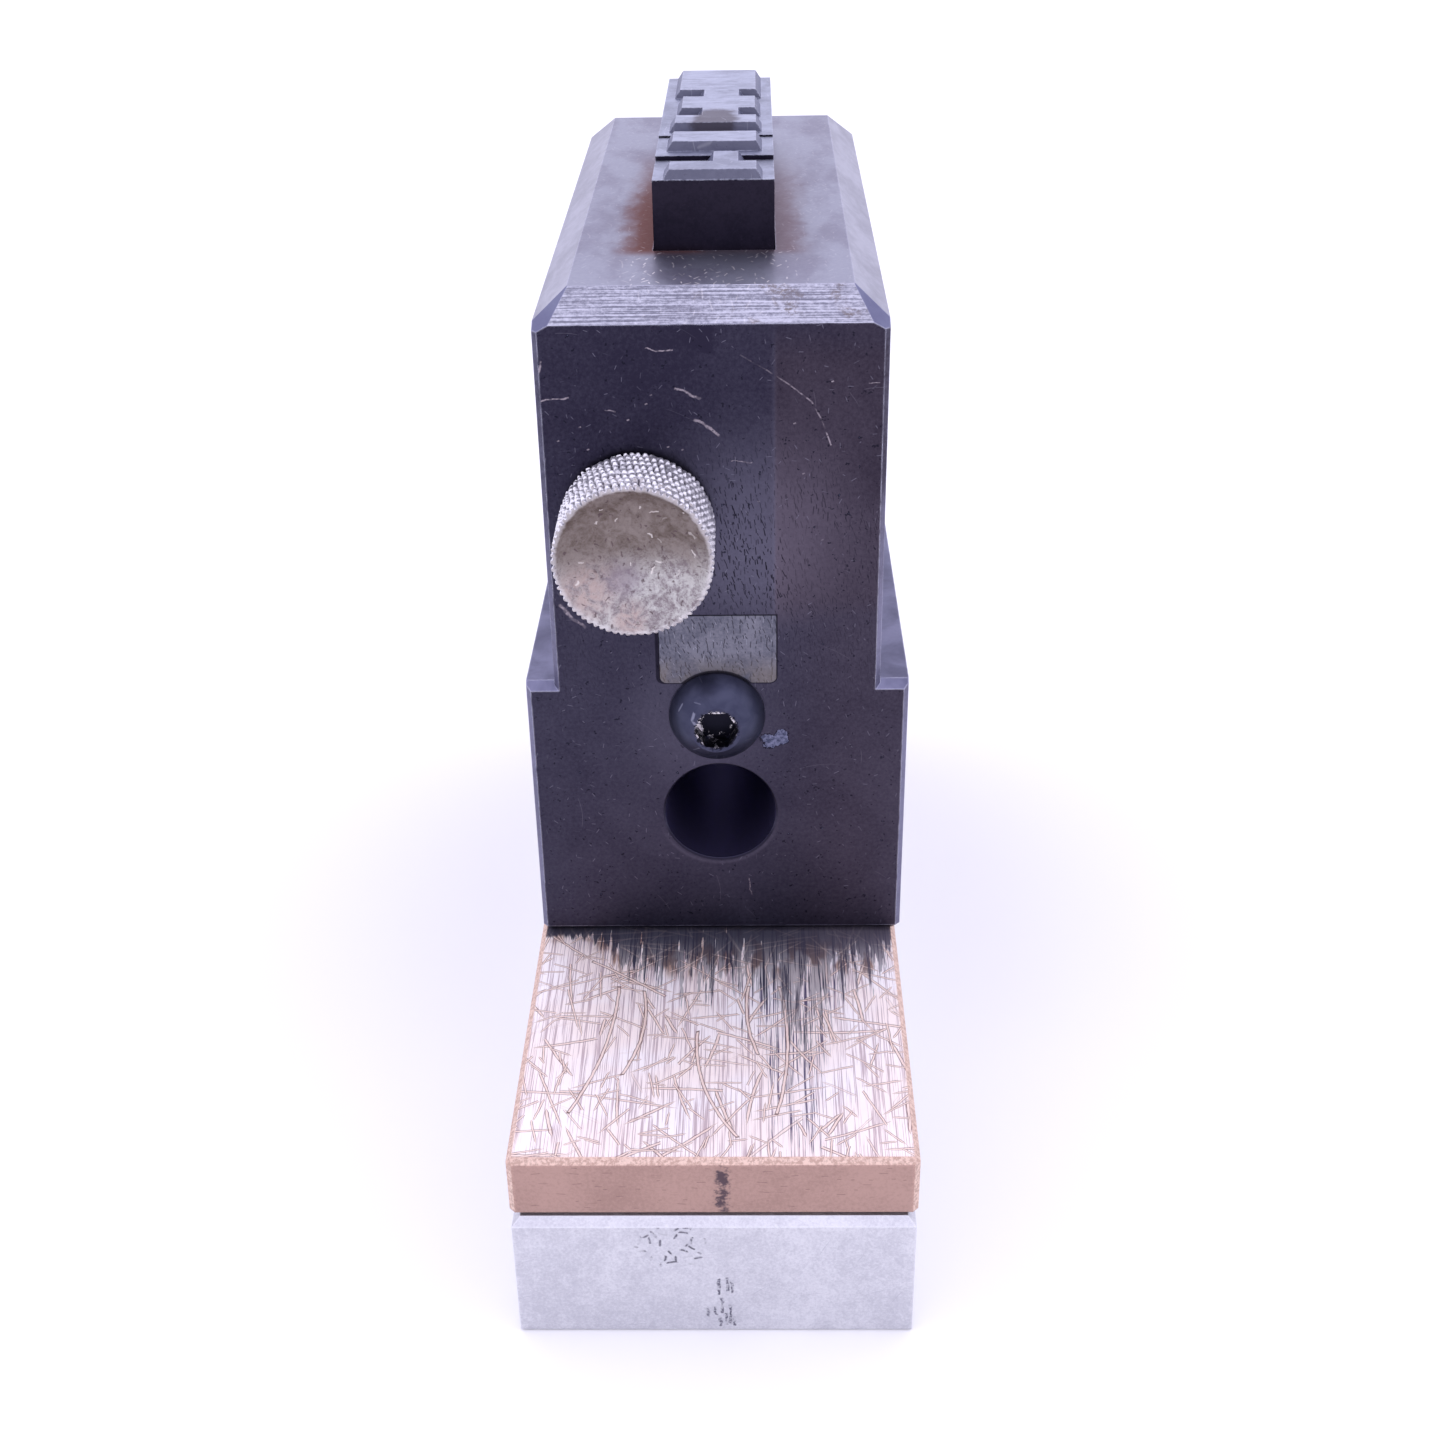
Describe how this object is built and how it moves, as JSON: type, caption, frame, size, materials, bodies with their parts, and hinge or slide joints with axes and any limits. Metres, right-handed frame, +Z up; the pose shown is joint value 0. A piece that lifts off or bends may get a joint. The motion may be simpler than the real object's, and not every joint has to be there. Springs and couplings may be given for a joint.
{
  "type": "marking type holder",
  "caption": "Steel block that holds a row of raised marking type in a top slot, kept in by a thumbscrew pin, on a copper plate and an aluminium base.",
  "frame": {"origin": "bottom centre of the whole object, on the underside of the aluminium base", "axes": "+Z up, -Y out of the holder's front face, where the thumbscrew and the striking pad are, +X to the right as seen from the front"},
  "size_m": [0.0403, 0.1216, 0.1037],
  "materials": {
    "black_steel": "black oxide, satin, worn at the edges",
    "type_steel": "ground hardened steel, blued",
    "bar_steel": "ground hardened steel, dull",
    "knob_steel": "bright zinc-grey, knurled, pitted dish",
    "screw_steel": "black oxide",
    "plain_steel": "plain turned steel",
    "copper": "brushed copper, scratched, heat stained",
    "aluminium": "sawn and brushed"
  },
  "bodies": {
    "holder": {"aluminium_base": "aluminium", "copper_plate": "copper", "holder_block": "black_steel", "backing_bar": "bar_steel", "type_slug_front": "type_steel", "type_slug_middle": "type_steel", "type_slug_long": "type_steel", "spacer_slug": "type_steel", "button_screw_front": "screw_steel", "button_screw_rear": "screw_steel", "base_screws": "screw_steel", "base_dowels": "plain_steel"},
    "retaining_pin": {"retaining_pin": "plain_steel"},
    "thumbscrew": {"thumb_knob": "knob_steel", "threaded_sleeve": "plain_steel"}
  },
  "joints": [
    {"name": "pin_slide", "type": "slide", "parent": "holder", "child": "retaining_pin", "axis": [0, -1, 0], "range_m": [0, 0.01]},
    {"name": "knob_turn", "type": "hinge", "parent": "retaining_pin", "child": "thumbscrew", "pos_m": [-0.0076, -0.02315, 0.0721], "axis": [0, -1, 0], "range_deg": [0, 2400.1]}
  ],
  "couplings": [
    {"joint": "knob_turn", "follows": "pin_slide", "rad_per_m": 4188.8}
  ]
}
